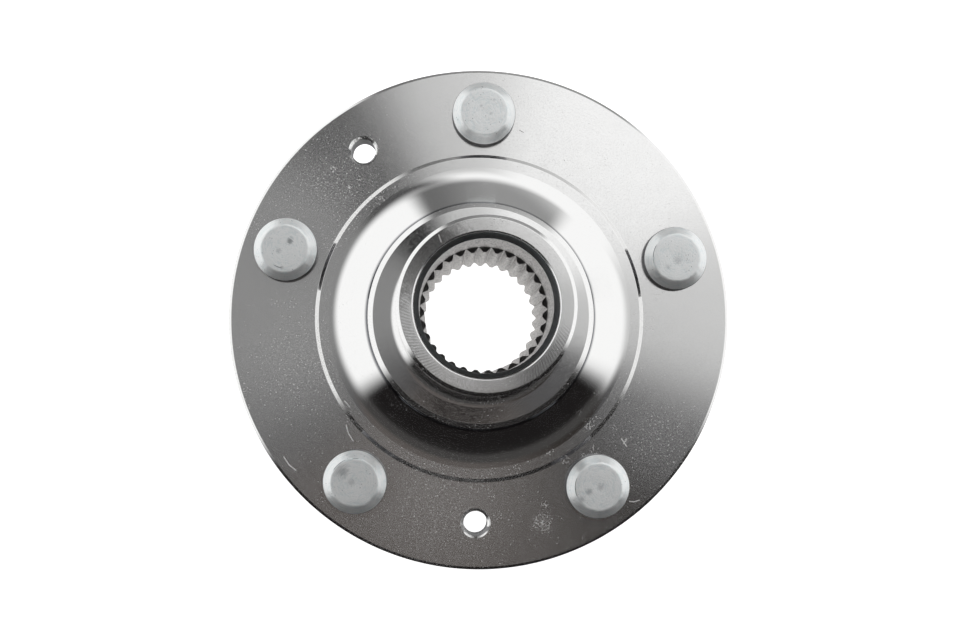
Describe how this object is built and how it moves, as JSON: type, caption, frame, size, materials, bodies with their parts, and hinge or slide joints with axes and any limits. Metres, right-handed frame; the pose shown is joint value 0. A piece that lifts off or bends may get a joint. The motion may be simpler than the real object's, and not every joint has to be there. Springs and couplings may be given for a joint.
{
  "type": "wheel hub",
  "caption": "Driven wheel hub: round flange with pressed-in wheel studs, raised neck, bearing journal, splined axle bore, wheel pilot and tapped disc screw holes.",
  "frame": {"origin": "centre of the wheel pilot, in the plane of the outboard face that the brake disc is clamped to", "axes": "+Z along the axle axis, inboard, towards the end of the bearing journal; +Y towards the first wheel stud"},
  "size_m": [0.14, 0.14, 0.0993],
  "materials": {
    "turned_steel": "fine turned",
    "zinc_plated_steel": "matte zinc plated"
  },
  "bodies": {
    "root": {"hub_flange": "turned_steel", "wheel_stud_1": "zinc_plated_steel", "wheel_stud_2": "zinc_plated_steel", "wheel_stud_3": "zinc_plated_steel", "wheel_stud_4": "zinc_plated_steel", "wheel_stud_5": "zinc_plated_steel"}
  },
  "joints": []
}
